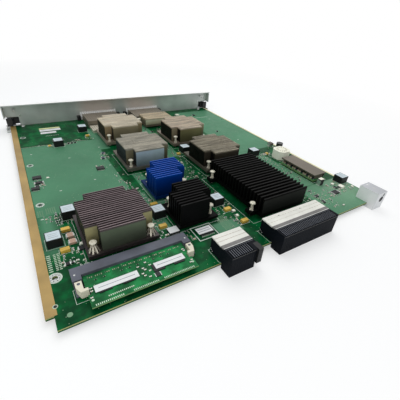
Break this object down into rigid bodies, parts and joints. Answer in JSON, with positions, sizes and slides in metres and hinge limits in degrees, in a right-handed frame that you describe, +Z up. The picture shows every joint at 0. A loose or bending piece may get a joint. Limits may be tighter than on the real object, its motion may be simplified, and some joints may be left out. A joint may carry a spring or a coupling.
{
  "type": "switch line card",
  "caption": "Flat network chassis card: long circuit board with finned heat sinks, rear backplane connectors and a folded front panel with port cages.",
  "frame": {"origin": "underside of the front panel's lower flange, at mid-width, in the plane of the panel's inner face", "axes": "+X to the right seen from the backplane side, +Y out of the front panel, +Z up from the board's component side"},
  "size_m": [0.377, 0.4322, 0.04],
  "materials": {
    "board_green": "gloss",
    "plated_edge": "satin",
    "panel_sheet": "satin",
    "steel": "satin",
    "lever_plastic": "matte",
    "zinc": "satin",
    "cage_sheet": "satin",
    "finger_sheet": "satin",
    "black_plastic": "matte",
    "lamp_resin": "gloss",
    "can_sheet": "satin",
    "sink_brown": "satin",
    "sink_tan": "satin",
    "sink_grey": "satin",
    "sink_blue": "anodised",
    "sink_black": "anodised",
    "pin_resin": "matte",
    "chip_resin": "matte",
    "socket_resin": "matte",
    "latch_resin": "matte",
    "module_board": "gloss",
    "shroud_resin": "matte",
    "organiser_resin": "matte",
    "cap_resin": "matte",
    "guide_metal": "cast",
    "ferrite": "matte",
    "converter_sheet": "satin",
    "choke_resin": "matte",
    "drum_sleeve": "gloss",
    "tantalum_resin": "matte"
  },
  "bodies": {
    "card": {"captive_ferrules": "steel", "circuit_board": "board_green", "converter_board": "module_board", "converter_cores": "ferrite", "converter_pins": "zinc", "converter_plate": "converter_sheet", "drum_capacitor": "drum_sleeve", "ejector_pivot_pins": "zinc", "fabric_heat_sink": "sink_black", "far_bridge_heat_sink": "sink_blue", "front_panel": "panel_sheet", "guide_block": "guide_metal", "keying_post": "black_plastic", "lamp_housings": "black_plastic", "lamp_lenses": "lamp_resin", "large_chips": "chip_resin", "left_ejector_yoke": "steel", "left_ground_strip": "plated_edge", "left_port_cage": "cage_sheet", "left_port_collar": "finger_sheet", "left_port_heat_sink": "sink_tan", "left_switch_heat_sink": "sink_grey", "long_backplane_cap": "cap_resin", "long_backplane_organiser": "organiser_resin", "long_backplane_shroud": "shroud_resin", "long_backplane_wafers": "shroud_resin", "memory_chips": "chip_resin", "memory_module": "module_board", "memory_socket": "socket_resin", "near_bridge_heat_sink": "sink_black", "panel_screws": "zinc", "panel_spacer_bar": "steel", "phy_heat_sink": "sink_tan", "port_connectors": "black_plastic", "power_choke": "choke_resin", "power_modules": "black_plastic", "processor_heat_sink": "sink_brown", "push_pins": "pin_resin", "right_ejector_yoke": "steel", "right_ground_strip": "plated_edge", "right_port_cage": "cage_sheet", "right_port_collar": "finger_sheet", "right_port_heat_sink": "sink_tan", "right_switch_heat_sink": "sink_brown", "shield_can": "can_sheet", "short_backplane_cap": "cap_resin", "short_backplane_organiser": "organiser_resin", "short_backplane_shroud": "shroud_resin", "short_backplane_wafers": "shroud_resin", "small_chips": "chip_resin", "tantalum_capacitors": "tantalum_resin"},
    "left_ejector": {"left_ejector": "lever_plastic"},
    "right_ejector": {"right_ejector": "lever_plastic"},
    "left_captive_screw": {"left_captive_screw": "zinc"},
    "right_captive_screw": {"right_captive_screw": "zinc"},
    "left_socket_latch": {"left_socket_latch": "latch_resin"},
    "right_socket_latch": {"right_socket_latch": "latch_resin"}
  },
  "joints": [
    {"name": "left_ejector_swing", "type": "hinge", "parent": "card", "child": "left_ejector", "pos_m": [-0.18, 0.0075, 0.0128], "axis": [0, 0, 1], "range_deg": [0, 60]},
    {"name": "right_ejector_swing", "type": "hinge", "parent": "card", "child": "right_ejector", "pos_m": [0.18, 0.0075, 0.0128], "axis": [0, 0, -1], "range_deg": [0, 60]},
    {"name": "left_captive_screw_turn", "type": "hinge", "parent": "card", "child": "left_captive_screw", "pos_m": [-0.1725, 0, 0.031], "axis": [0, 1, 0], "continuous": true},
    {"name": "right_captive_screw_turn", "type": "hinge", "parent": "card", "child": "right_captive_screw", "pos_m": [0.1725, 0, 0.031], "axis": [0, 1, 0], "continuous": true},
    {"name": "left_latch_swing", "type": "hinge", "parent": "card", "child": "left_socket_latch", "pos_m": [-0.1587, -0.3785, 0.0095], "axis": [0, 0, -1], "range_deg": [0, 35], "stiffness_Nm_per_rad": 0.002},
    {"name": "right_latch_swing", "type": "hinge", "parent": "card", "child": "right_socket_latch", "pos_m": [-0.0693, -0.3785, 0.0095], "axis": [0, 0, 1], "range_deg": [0, 35], "stiffness_Nm_per_rad": 0.002}
  ]
}
